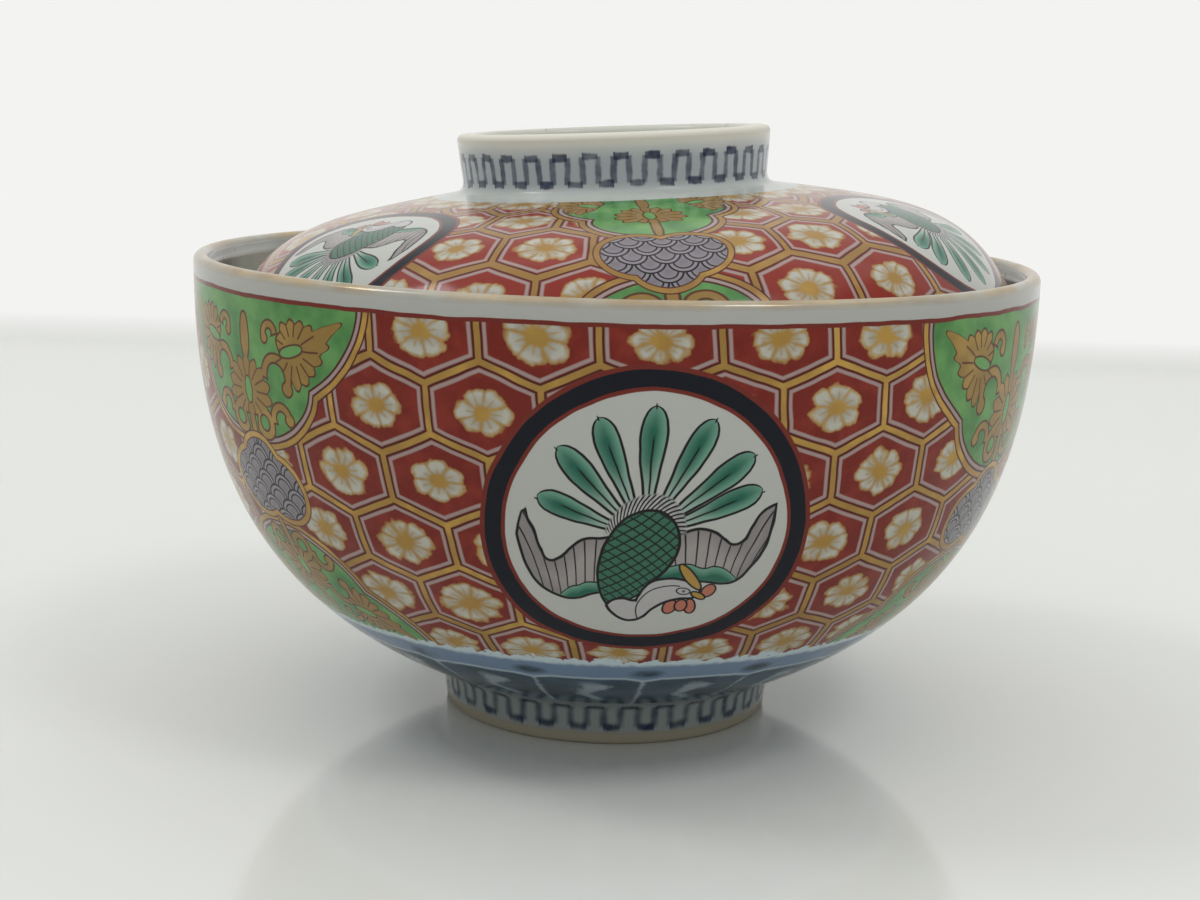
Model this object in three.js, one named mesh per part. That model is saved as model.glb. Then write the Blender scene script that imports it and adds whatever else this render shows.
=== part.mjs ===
// A lidded porcelain bowl: a round bowl on a foot ring, and a loose domed lid with a ring knob.
// Millimetres, +Z up. The origin is on the table, at the centre of the bowl's foot ring.
import * as THREE from 'three';

// How finely round shapes are drawn.
const TURN_STEPS = 60; // facets in a full turn
const WALL_STEPS = 12; // steps along a long curve, such as the bowl's wall
const FLOOR_STEPS = 5; // steps from a wall to the axis
const EDGE_STEPS = 3; // steps round a small edge
const LIP_STEPS = 6; // steps over a half-round lip

// Bowl, from the table up.
const FOOT_RADIUS = 23.3; // outside of the foot ring, at the table
const FOOT_FLARE = 0.5; // how much wider the foot ring is at its top
const FOOT_THICKNESS = 3.2; // wall of the foot ring
const FOOT_EDGE = 0.8; // rounding of the foot ring's edges
const FOOT_RECESS = 5.2; // depth of the hollow under the bowl
const FOOT_HEIGHT = 6.6; // table to where the wall springs from the foot ring
const FOOT_FILLET = 2.1; // run of the hollow fillet between foot ring and wall
const FLOOR_THICKNESS = 3.6; // floor of the bowl, over the hollow
const FLOOR_FLAT_PULL = 12; // pull of the level floor on the inside curve
const FLOOR_WALL_PULL = 2.5; // pull of the wall on the inside curve
const WALL_THICKNESS = 3.5; // wall below the taper to the lip
const WALL_SPRING_ANGLE = 23.6; // degrees above level at which the wall leaves the foot ring
const WALL_SPRING_PULL = 28.7; // pull of that direction on the wall's curve
const WALL_UPRIGHT_PULL = 26.7; // pull of the upright rim on the wall's curve
const RIM_RADIUS = 59.05; // outside of the wall at the rim
const RIM_HEIGHT = 64.9; // table to the crest of the lip
const LIP_THICKNESS = 2.1; // wall at the lip, which is half-round
const LIP_TAPER = 14; // height over which the wall thins to the lip

// Lid, measured from the plane of its own rim.
const SEAT_DEPTH = 8.8; // lid's rim below the crest of the bowl's lip
const SEAT_CLEARANCE = 0.3; // gap between the lid's rim and the bowl's inner wall
const LID_TILT = 3.4; // degrees by which the loose lid lies askew, with its +X side up
const LID_EDGE_THICKNESS = 2.0; // lid's half-round rim
const LID_TAPER = 8; // height over which the dome thins to the rim
const LID_THICKNESS = 3.2; // dome over most of its width
const LID_EDGE_ANGLE = 66; // degrees above level at which the dome leaves the rim
const LID_EDGE_PULL = 15; // pull of that direction on the dome's curve
const LID_CROWN_ANGLE = 9.5; // degrees from level at which the dome reaches the ring knob
const LID_CROWN_PULL = 19; // pull of that direction on the dome's curve
const HOLLOW_DOME_PULL = 8; // pull of the dome on the curve of the middle of the underside
const HOLLOW_FLAT_PULL = 10; // pull of the level middle on that curve
const RING_BASE_HEIGHT = 18.5; // lid's rim to the foot of the ring knob
const RING_HEIGHT = 8.1; // ring knob, from its foot to its top
const RING_RADIUS = 22.0; // outside of the ring knob, at its top
const RING_WAIST = 0.6; // how much narrower the ring knob is at its foot
const RING_THICKNESS = 2.9; // wall of the ring knob
const RING_EDGE = 0.9; // rounding of the ring knob's edges
const RING_FILLET = 1.3; // run of the hollow fillet between ring knob and dome
const RING_RECESS = 6.2; // depth of the hollow inside the ring knob

const glazedBowl = new THREE.MeshStandardMaterial({ color: 0xa8452f, roughness: 0.22, metalness: 0 });
const glazedLid = new THREE.MeshStandardMaterial({ color: 0xb04a34, roughness: 0.22, metalness: 0 });

const point = (radius, height) => new THREE.Vector2(radius, height);
const along = (start, heading, distance) => start.clone().addScaledVector(heading, distance);

function direction(degrees) {
  const angle = THREE.MathUtils.degToRad(degrees);
  return point(Math.cos(angle), Math.sin(angle));
}

// Points of a curve without its first one, so that stretches of a profile join with no double point.
const stepsOf = (curve, count) => curve.getPoints(count).slice(1);

// Points of a round edge, from one angle to another about its centre, in degrees.
function roundedEdge(centre, radius, fromDegrees, toDegrees, count) {
  const start = THREE.MathUtils.degToRad(fromDegrees);
  const end = THREE.MathUtils.degToRad(toDegrees);
  return new THREE.EllipseCurve(centre.x, centre.y, radius, radius, start, end, end < start).getPoints(count);
}

// Thickness of a wall that thins towards its edge, as a function of height.
function thinningTo(edgeHeight, edgeThickness, fullThickness, taper) {
  return (height) => {
    const fullness = THREE.MathUtils.smoothstep(Math.abs(height - edgeHeight), 0, taper);
    return THREE.MathUtils.lerp(edgeThickness, fullThickness, fullness);
  };
}

// Inner face of a wall: its outer curve, upwards, set in by the wall's thickness at each height.
function innerFace(outerCurve, thicknessAt) {
  const points = [];
  for (let step = 0; step <= WALL_STEPS; step += 1) {
    const outer = outerCurve.getPoint(step / WALL_STEPS);
    const heading = outerCurve.getTangent(step / WALL_STEPS);
    points.push(along(outer, point(-heading.y, heading.x), thicknessAt(outer.y)));
  }
  return points;
}

// A closed solid of revolution about +Z. The profile runs from the axis, round the outside, to the axis.
function turned(profile) {
  const geometry = new THREE.LatheGeometry(profile, TURN_STEPS);
  geometry.rotateX(Math.PI / 2);
  return geometry;
}

// Outer curve of the bowl's wall, from the foot ring's fillet up to the lip.
function bowlWall() {
  const spring = point(FOOT_RADIUS + FOOT_FLARE + FOOT_FILLET, FOOT_HEIGHT);
  const rim = point(RIM_RADIUS, RIM_HEIGHT - LIP_THICKNESS / 2);
  return new THREE.CubicBezierCurve(
    spring,
    along(spring, direction(WALL_SPRING_ANGLE), WALL_SPRING_PULL),
    point(rim.x, rim.y - WALL_UPRIGHT_PULL),
    rim,
  );
}

// Inner face of the bowl's wall, from the floor up to the lip.
function bowlInside() {
  const lipHeight = RIM_HEIGHT - LIP_THICKNESS / 2;
  return innerFace(bowlWall(), thinningTo(lipHeight, LIP_THICKNESS, WALL_THICKNESS, LIP_TAPER));
}

// Outside of the foot ring's top, hollowed into the wall that springs from it.
function footFillet(spring) {
  const footTop = FOOT_RADIUS + FOOT_FLARE;
  const heading = direction(WALL_SPRING_ANGLE);
  const corner = along(spring, heading, (footTop - spring.x) / heading.x);
  return new THREE.QuadraticBezierCurve(point(footTop, corner.y - FOOT_FILLET / 2), corner, spring);
}

// Inside of the bowl from the foot of its wall to the axis.
function bowlFloor(wallFoot) {
  const height = FOOT_RECESS + FLOOR_THICKNESS;
  return new THREE.CubicBezierCurve(
    wallFoot,
    along(wallFoot, direction(WALL_SPRING_ANGLE), -FLOOR_WALL_PULL),
    point(FLOOR_FLAT_PULL, height),
    point(0, height),
  );
}

function bowlProfile() {
  const wall = bowlWall();
  const inside = bowlInside();
  const footInside = FOOT_RADIUS - FOOT_THICKNESS;
  const lip = point(RIM_RADIUS - LIP_THICKNESS / 2, RIM_HEIGHT - LIP_THICKNESS / 2);
  return [
    point(0, FOOT_RECESS),
    ...roundedEdge(point(footInside - FOOT_EDGE, FOOT_RECESS - FOOT_EDGE), FOOT_EDGE, 90, 0, EDGE_STEPS),
    ...roundedEdge(point(footInside + FOOT_EDGE, FOOT_EDGE), FOOT_EDGE, 180, 270, EDGE_STEPS),
    ...roundedEdge(point(FOOT_RADIUS - FOOT_EDGE, FOOT_EDGE), FOOT_EDGE, -90, 0, EDGE_STEPS),
    ...footFillet(wall.getPoint(0)).getPoints(EDGE_STEPS),
    ...stepsOf(wall, WALL_STEPS),
    ...roundedEdge(lip, LIP_THICKNESS / 2, 0, 180, LIP_STEPS).slice(1, -1),
    ...inside.toReversed(),
    ...stepsOf(bowlFloor(inside[0]), FLOOR_STEPS),
  ];
}

// Radius of the bowl's inner face at a height, between the points that draw it.
function insideRadiusAt(height) {
  const inside = bowlInside();
  const above = inside.findIndex((here, index) => index > 0 && here.y >= height);
  const [lower, upper] = [inside[above - 1], inside[above]];
  return THREE.MathUtils.mapLinear(height, lower.y, upper.y, lower.x, upper.x);
}

// How the lid lies in the bowl: its rim's radius, and how far its centre shifts to its raised side.
// The rim is as wide as the bowl's inner face allows at its own level and at its low and high ends.
function lidSeat() {
  const tilt = THREE.MathUtils.degToRad(LID_TILT);
  const level = RIM_HEIGHT - SEAT_DEPTH;
  const across = insideRadiusAt(level);
  const endRise = across * Math.sin(tilt);
  const lowEnd = insideRadiusAt(level - endRise);
  const highEnd = insideRadiusAt(level + endRise);
  const endToEnd = (lowEnd + highEnd) / 2 / Math.cos(tilt);
  const rimRadius = Math.min(across, endToEnd) - SEAT_CLEARANCE;
  return { tilt, level, rimRadius, shift: (highEnd - lowEnd) / 2 };
}

// Outer curve of the lid's dome, from its rim up to the ring knob's fillet.
function lidDome(edgeOut) {
  const crown = point(RING_RADIUS - RING_WAIST + RING_FILLET, RING_BASE_HEIGHT);
  return new THREE.CubicBezierCurve(
    edgeOut,
    along(edgeOut, direction(180 - LID_EDGE_ANGLE), LID_EDGE_PULL),
    along(crown, direction(-LID_CROWN_ANGLE), LID_CROWN_PULL),
    crown,
  );
}

// Outside of the ring knob's foot, hollowed into the dome.
function ringFillet(crown) {
  const ringFoot = RING_RADIUS - RING_WAIST;
  const heading = direction(-LID_CROWN_ANGLE);
  const corner = along(crown, heading, (ringFoot - crown.x) / heading.x);
  return new THREE.QuadraticBezierCurve(crown, corner, point(ringFoot, corner.y + RING_FILLET));
}

// Underside of the lid from the axis to the inner face of the dome.
function lidHollow(domeTop, height) {
  return new THREE.CubicBezierCurve(
    point(0, height),
    point(HOLLOW_FLAT_PULL, height),
    along(domeTop, direction(180 - LID_CROWN_ANGLE), HOLLOW_DOME_PULL),
    domeTop,
  );
}

function lidProfile(rimRadius) {
  const edgeRadius = LID_EDGE_THICKNESS / 2;
  const edgeCentre = point(rimRadius - edgeRadius, edgeRadius);
  const edgeTurn = 90 - LID_EDGE_ANGLE;
  const dome = lidDome(along(edgeCentre, direction(edgeTurn), edgeRadius));
  const edgeHeight = dome.getPoint(0).y;
  const inside = innerFace(dome, thinningTo(edgeHeight, LID_EDGE_THICKNESS, LID_THICKNESS, LID_TAPER));
  const ringInside = RING_RADIUS - RING_THICKNESS;
  const ringTop = RING_BASE_HEIGHT + RING_HEIGHT;
  const recessFloor = ringTop - RING_RECESS;
  return [
    ...lidHollow(inside.at(-1), recessFloor - LID_THICKNESS).getPoints(FLOOR_STEPS),
    ...inside.toReversed().slice(1),
    ...roundedEdge(edgeCentre, edgeRadius, edgeTurn - 180, edgeTurn, LIP_STEPS).slice(1, -1),
    ...dome.getPoints(WALL_STEPS),
    ...stepsOf(ringFillet(dome.getPoint(1)), EDGE_STEPS),
    ...roundedEdge(point(RING_RADIUS - RING_EDGE, ringTop - RING_EDGE), RING_EDGE, 0, 90, EDGE_STEPS),
    ...roundedEdge(point(ringInside + RING_EDGE, ringTop - RING_EDGE), RING_EDGE, 90, 180, EDGE_STEPS),
    ...roundedEdge(point(ringInside - RING_EDGE, recessFloor + RING_EDGE), RING_EDGE, 0, -90, EDGE_STEPS),
    point(0, recessFloor),
  ];
}

function makeBowl() {
  const bowl = new THREE.Mesh(turned(bowlProfile()), glazedBowl);
  bowl.name = 'bowl';
  return bowl;
}

// The lid is loose: it lies on the bowl's narrowing inner face, a little askew.
function makeLid() {
  const seat = lidSeat();
  const lid = new THREE.Mesh(turned(lidProfile(seat.rimRadius)), glazedLid);
  lid.name = 'lid';
  lid.rotation.y = -seat.tilt;
  lid.position.set(seat.shift, 0, seat.level);
  return lid;
}

const liddedBowl = new THREE.Group();
liddedBowl.add(makeBowl(), makeLid());

export default liddedBowl;
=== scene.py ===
import math

import bmesh
import bpy
from mathutils import Matrix, Vector


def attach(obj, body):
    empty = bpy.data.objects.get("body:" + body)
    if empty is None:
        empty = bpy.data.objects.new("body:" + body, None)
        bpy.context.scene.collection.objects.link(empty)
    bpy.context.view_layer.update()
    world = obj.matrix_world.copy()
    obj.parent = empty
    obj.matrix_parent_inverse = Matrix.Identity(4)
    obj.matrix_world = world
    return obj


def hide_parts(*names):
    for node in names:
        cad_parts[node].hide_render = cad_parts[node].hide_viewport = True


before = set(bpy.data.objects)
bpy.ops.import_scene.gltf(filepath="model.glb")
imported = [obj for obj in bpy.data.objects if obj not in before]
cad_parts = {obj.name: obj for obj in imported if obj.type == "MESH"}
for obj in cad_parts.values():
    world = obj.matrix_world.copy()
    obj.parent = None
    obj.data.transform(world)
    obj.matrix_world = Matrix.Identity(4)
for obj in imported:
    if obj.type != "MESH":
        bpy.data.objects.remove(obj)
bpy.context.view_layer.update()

MM = 0.001

# Sizes of the two pots, in millimetres, as the solids have them.
TURN_STEPS = 256
WALL_STEPS = 48
EDGE_STEPS = 6
FOOT_RADIUS = 23.3
FOOT_FLARE = 0.5
FOOT_THICKNESS = 3.2
FOOT_EDGE = 0.8
FOOT_RECESS = 5.2
FOOT_HEIGHT = 6.6
FOOT_FILLET = 2.1
FLOOR_THICKNESS = 3.6
FLOOR_FLAT_PULL = 12
FLOOR_WALL_PULL = 2.5
WALL_THICKNESS = 3.5
WALL_SPRING_ANGLE = 23.6
WALL_SPRING_PULL = 28.7
WALL_UPRIGHT_PULL = 26.7
RIM_RADIUS = 59.05
RIM_HEIGHT = 64.9
LIP_THICKNESS = 2.1
LIP_TAPER = 14
LID_TILT = 3.4
LID_RIM_RADIUS = 55.59
LID_SHIFT = 0.59
LID_LEVEL = 56.1
LID_EDGE_THICKNESS = 2.0
LID_TAPER = 8
LID_THICKNESS = 3.2
LID_EDGE_ANGLE = 66
LID_EDGE_PULL = 15
LID_CROWN_ANGLE = 9.5
LID_CROWN_PULL = 19
HOLLOW_DOME_PULL = 8
HOLLOW_FLAT_PULL = 10
RING_BASE_HEIGHT = 18.5
RING_HEIGHT = 8.1
RING_RADIUS = 22.0
RING_WAIST = 0.6
RING_THICKNESS = 2.9
RING_EDGE = 0.9
RING_FILLET = 1.3
RING_RECESS = 6.2

# The painted outside of each pot as ways from its edge, and how the bake map is shared out.
BOWL_OUTSIDE = (-3.3, 77.0)
LID_OUTSIDE = (-3.1, 49.5)
BAKE_ROWS = (0.0, 0.43, 0.86, 0.93, 1.0)
BAKE_MARGIN = 0.003

# The photograph's camera, in millimetres, degrees and pixels of its 1200 by 900 frame.
CAMERA_BACK = 282.0
CAMERA_HEIGHT = 88.9
CAMERA_PITCH = 10.49
CAMERA_ROLL = 1.52
CAMERA_YAW = -0.34
FOCAL_PIXELS = 1979.9
FRAME_WIDTH = 1200
SENSOR_WIDTH = 36.0

# The studio, in metres.
SHEET_FRONT = -2.0
SHEET_BEND = 0.35
SHEET_BACK = 0.43
SHEET_TOP = 1.6
SHEET_HALF_WIDTH = 2.5
SHEET_ROUGHNESS = 0.1
SHEET_RISE = 0.004
ROOM_LIGHT = 0.55
LIGHTS = (
    ("overhead_softbox", (0, 0, 0.95), (1.6, 1.4), 4.6),
    ("left_lamp", (-0.83, 0, 1.06), (0.3, 0.3), 2.4),
    ("right_lamp", (0.58, -0.52, 1.1), (0.3, 0.3), 2.4),
)


def heading(degrees):
    angle = math.radians(degrees)
    return Vector((math.cos(angle), math.sin(angle)))


def bezier(start, pull_start, pull_end, end, steps):
    """Points of a curve from start to end, both included."""
    points = []
    for step in range(steps + 1):
        t = step / steps
        s = 1 - t
        points.append(s**3 * start + 3 * s * s * t * pull_start + 3 * s * t * t * pull_end + t**3 * end)
    return points


def bend(start, corner, end, steps):
    """Points of a hollow fillet that follows its two sides towards their corner."""
    share = 2 / 3
    return bezier(start, start.lerp(corner, share), end.lerp(corner, share), end, steps)


def rounded_edge(centre, radius, from_degrees, to_degrees, steps):
    turn = (to_degrees - from_degrees) / steps
    return [centre + radius * heading(from_degrees + turn * step) for step in range(steps + 1)]


def thinning_to(edge_height, edge_thickness, full_thickness, taper):
    """Thickness of a wall that thins towards its edge, as a function of height."""
    def thickness(height):
        share = min(abs(height - edge_height) / taper, 1)
        fullness = share * share * (3 - 2 * share)
        return edge_thickness + (full_thickness - edge_thickness) * fullness
    return thickness


def inner_face(outer, thickness_at):
    """The inner face of a wall: its outer points, upwards, set in by the wall's thickness."""
    last = len(outer) - 1
    points = []
    for index, here in enumerate(outer):
        along = (outer[min(index + 1, last)] - outer[max(index - 1, 0)]).normalized()
        points.append(here + Vector((-along.y, along.x)) * thickness_at(here.y))
    return points


def joined(*stretches):
    """One profile from several stretches, without double points."""
    profile = []
    for point in (p for stretch in stretches for p in stretch):
        if not profile or (point - profile[-1]).length > 1e-4:
            profile.append(point)
    return profile


def bowl_profile():
    """The bowl's section from the axis inside, over the lip, down the outside and under the foot."""
    spring = Vector((FOOT_RADIUS + FOOT_FLARE + FOOT_FILLET, FOOT_HEIGHT))
    out = heading(WALL_SPRING_ANGLE)
    lip = Vector((RIM_RADIUS - LIP_THICKNESS / 2, RIM_HEIGHT - LIP_THICKNESS / 2))
    rim = Vector((RIM_RADIUS, lip.y))
    upright = Vector((0, WALL_UPRIGHT_PULL))
    wall = bezier(spring, spring + WALL_SPRING_PULL * out, rim - upright, rim, WALL_STEPS)
    inside = inner_face(wall, thinning_to(lip.y, LIP_THICKNESS, WALL_THICKNESS, LIP_TAPER))
    foot_top = FOOT_RADIUS + FOOT_FLARE
    foot_inside = FOOT_RADIUS - FOOT_THICKNESS
    corner = spring + out * ((foot_top - spring.x) / out.x)
    floor = Vector((0, FOOT_RECESS + FLOOR_THICKNESS))
    edge = FOOT_EDGE
    profile = joined(
        [Vector((0, FOOT_RECESS))],
        rounded_edge(Vector((foot_inside - edge, FOOT_RECESS - edge)), edge, 90, 0, EDGE_STEPS),
        rounded_edge(Vector((foot_inside + edge, edge)), edge, 180, 270, EDGE_STEPS),
        rounded_edge(Vector((FOOT_RADIUS - edge, edge)), edge, -90, 0, EDGE_STEPS),
        bend(Vector((foot_top, corner.y - FOOT_FILLET / 2)), corner, spring, EDGE_STEPS),
        wall,
        rounded_edge(lip, LIP_THICKNESS / 2, 0, 180, 2 * EDGE_STEPS),
        reversed(inside),
        bezier(inside[0], inside[0] - FLOOR_WALL_PULL * out, floor + Vector((FLOOR_FLAT_PULL, 0)), floor,
               2 * EDGE_STEPS),
    )
    return profile[::-1], rim


def lid_profile():
    """The lid's section from the axis, down the underside, round the rim, up to the knob and the axis."""
    edge = LID_EDGE_THICKNESS / 2
    edge_centre = Vector((LID_RIM_RADIUS - edge, edge))
    edge_turn = 90 - LID_EDGE_ANGLE
    edge_out = edge_centre + edge * heading(edge_turn)
    crown = Vector((RING_RADIUS - RING_WAIST + RING_FILLET, RING_BASE_HEIGHT))
    crown_out = heading(-LID_CROWN_ANGLE)
    dome = bezier(edge_out, edge_out + LID_EDGE_PULL * heading(180 - LID_EDGE_ANGLE),
                  crown + LID_CROWN_PULL * crown_out, crown, WALL_STEPS)
    inside = inner_face(dome, thinning_to(edge_out.y, LID_EDGE_THICKNESS, LID_THICKNESS, LID_TAPER))
    ring_foot = RING_RADIUS - RING_WAIST
    ring_inside = RING_RADIUS - RING_THICKNESS
    ring_top = RING_BASE_HEIGHT + RING_HEIGHT
    recess = ring_top - RING_RECESS
    corner = crown + crown_out * ((ring_foot - crown.x) / crown_out.x)
    hollow = Vector((0, recess - LID_THICKNESS))
    soft = RING_EDGE
    profile = joined(
        bezier(hollow, hollow + Vector((HOLLOW_FLAT_PULL, 0)), inside[-1] - HOLLOW_DOME_PULL * crown_out,
               inside[-1], 2 * EDGE_STEPS),
        reversed(inside),
        rounded_edge(edge_centre, edge, edge_turn - 180, edge_turn, 2 * EDGE_STEPS),
        dome,
        bend(crown, corner, Vector((ring_foot, corner.y + RING_FILLET)), EDGE_STEPS),
        rounded_edge(Vector((RING_RADIUS - soft, ring_top - soft)), soft, 0, 90, EDGE_STEPS),
        rounded_edge(Vector((ring_inside + soft, ring_top - soft)), soft, 90, 180, EDGE_STEPS),
        rounded_edge(Vector((ring_inside - soft, recess + soft)), soft, 0, -90, EDGE_STEPS),
        [Vector((0, recess))],
    )
    return profile, edge_out


def arc_lengths(profile):
    """Distance along a profile to each of its points."""
    lengths = [0.0]
    for before, here in zip(profile, profile[1:]):
        lengths.append(lengths[-1] + (here - before).length)
    return lengths


def bake_spot(angle, facing, way, middle_way, cuts):
    """A place in the bake map: two half turns of the outside, then the inside and the underside as strips."""
    strip = sum(middle_way > cut for cut in cuts[1:-1])
    if strip == 1:
        row = 0 if facing < 0 else 1
        across = angle / math.pi + 1 - row
    else:
        row = 2 + strip // 2
        across = angle / (2 * math.pi) + 0.5
    share = (way - cuts[strip]) / (cuts[strip + 1] - cuts[strip])
    low, high = BAKE_ROWS[row] + BAKE_MARGIN, BAKE_ROWS[row + 1] - BAKE_MARGIN
    return BAKE_MARGIN + (1 - 2 * BAKE_MARGIN) * across, low + (high - low) * share


def put_in_order(bm, way):
    """Points, edges and faces in the same order on every run: along the profile, then round the axis."""
    def rank(part):
        verts = getattr(part, "verts", (part,))
        middle = sum((vert.co for vert in verts), Vector()) / len(verts)
        middle_way = sum(vert[way] for vert in verts) / len(verts)
        return 100 * middle_way + math.atan2(middle.x, -middle.y)

    for parts in (bm.verts, bm.edges, bm.faces):
        parts.sort(key=rank)


def map_faces(bm, way, cuts):
    """Two maps: Pattern holds the angle in radians and the way in millimetres, OFBake a place for baking."""
    pattern = bm.loops.layers.uv.new("Pattern")
    bake = bm.loops.layers.uv.new("OFBake")
    for face in bm.faces:
        face.smooth = True
        middle = face.calc_center_median()
        facing = math.atan2(middle.x, -middle.y)
        middle_way = sum(loop.vert[way] for loop in face.loops) / len(face.loops)
        for loop in face.loops:
            at = loop.vert.co
            angle = math.atan2(at.x, -at.y) if at.xy.length > 1e-6 else facing
            angle = facing + math.remainder(angle - facing, 2 * math.pi)
            loop[pattern].uv = (angle, loop.vert[way])
            loop[bake].uv = bake_spot(angle, facing, loop.vert[way], middle_way, cuts)


def turned_pot(name, profile, edge, place, outside):
    """A pot spun about its axis, which keeps each point's way from the edge and distance from the axis."""
    mesh = bpy.data.meshes.new(name)
    bm = bmesh.new()
    way = bm.verts.layers.float.new("way")
    girth = bm.verts.layers.float.new("girth")
    lengths = arc_lengths(profile)
    start = min(range(len(profile)), key=lambda index: (profile[index] - edge).length)
    verts = [bm.verts.new((p.x * MM, 0, p.y * MM)) for p in profile]
    edges = [bm.edges.new(pair) for pair in zip(verts, verts[1:])]
    ways = [length - lengths[start] for length in lengths]
    cuts = [ways[0], *(min(ways, key=lambda w: abs(w - end)) for end in outside), ways[-1]]
    for vert, point, here in zip(verts, profile, ways):
        vert[way] = here
        vert[girth] = point.x
    bmesh.ops.spin(bm, geom=verts + edges, cent=(0, 0, 0), axis=(0, 0, 1), angle=2 * math.pi,
                   steps=TURN_STEPS, use_merge=True)
    bmesh.ops.remove_doubles(bm, verts=bm.verts, dist=1e-7)
    bmesh.ops.recalc_face_normals(bm, faces=bm.faces)
    put_in_order(bm, way)
    map_faces(bm, way, cuts)
    bmesh.ops.transform(bm, matrix=place, verts=bm.verts)
    bm.to_mesh(mesh)
    bm.free()
    pot = bpy.data.objects.new(name, mesh)
    bpy.context.scene.collection.objects.link(pot)
    return pot


# How softly a brush stroke ends, in millimetres.
BRUSH_EDGE = 0.09


def ink(red, green, blue):
    """A paint colour, from screen values of 0 to 255 to the linear values that nodes take."""
    return (*(((value / 255 + 0.055) / 1.055) ** 2.4 for value in (red, green, blue)), 1.0)


SHEET_COLOR = ink(224, 226, 222)
BACKDROP_WHITE = ink(243, 243, 241)
WHITE_GLAZE = ink(176, 177, 171)
GREY_GLAZE = ink(168, 168, 162)
# Part stain, part painted shade: the dark glaze below the lip, where the lid shades the gap.
STAIN_AND_SHADE_GLAZE = ink(74, 70, 60)
IRON_SPECK = ink(128, 112, 92)
# Painted light: the knob ring's glaze and its cream-tinted top are lighter copies of the pot's white glaze.
LIT_RING_GLAZE = ink(219, 221, 213)
RING_BLUE = ink(182, 187, 181)
FRET_WASH = ink(160, 170, 182)
LIT_RING_CREAM = ink(216, 213, 198)
LIP_OCHRE = ink(172, 155, 124)
# Bare clay painted darker than it is, as the contact shade at the foot's edge.
BARE_CLAY_AND_SHADE = ink(158, 151, 132)
IRON_RED = ink(117, 34, 24)
# Painted light: the lid's red is a lighter copy of the bowl's iron red, for the light on the lid's top.
LIT_LID_RED = ink(135, 41, 28)
THIN_RED = ink(142, 52, 38)
LINE_RED = ink(112, 40, 30)
DARK_RED = ink(74, 28, 22)
LILAC_LINE = ink(162, 142, 138)
GOLD = ink(178, 141, 73)
WORN_GOLD = ink(138, 102, 54)
# Painted highlight: a brighter gold laid in patches as glints on the gilding.
GLINT_GOLD = ink(208, 168, 86)
PETAL_WHITE = ink(184, 182, 170)
PETAL_SHADE = ink(150, 146, 132)
OCHRE = ink(172, 136, 66)
PALE_OCHRE = ink(170, 138, 82)
NAVY = ink(5, 10, 24)
ROUNDEL_WHITE = ink(185, 187, 181)
GREEN = ink(104, 156, 88)
DEEP_GREEN = ink(70, 124, 68)
LEAF_GOLD = ink(148, 120, 63)
LEAF_LINE = ink(88, 51, 32)
SCALE_GREY = ink(142, 136, 142)
DEEP_SCALE = ink(90, 86, 93)
BLACK = ink(20, 20, 22)
TEAL = ink(34, 98, 80)
PALE_TEAL = ink(106, 154, 134)
FEATHER_PALE = ink(164, 182, 173)
BODY_TEAL = ink(58, 108, 88)
WING_GREY = ink(160, 154, 152)
WING_DUSK = ink(104, 98, 98)
NECK_GREY = ink(178, 176, 176)
SALMON = ink(178, 110, 90)
COBALT = ink(108, 130, 156)
LAPPET_BLUE = ink(66, 88, 104)
DEEP_COBALT = ink(44, 64, 76)
PALE_BLUE = ink(190, 206, 212)
FRET_BLUE = ink(36, 49, 73)
FOOT_BLUE = ink(150, 157, 155)


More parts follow.
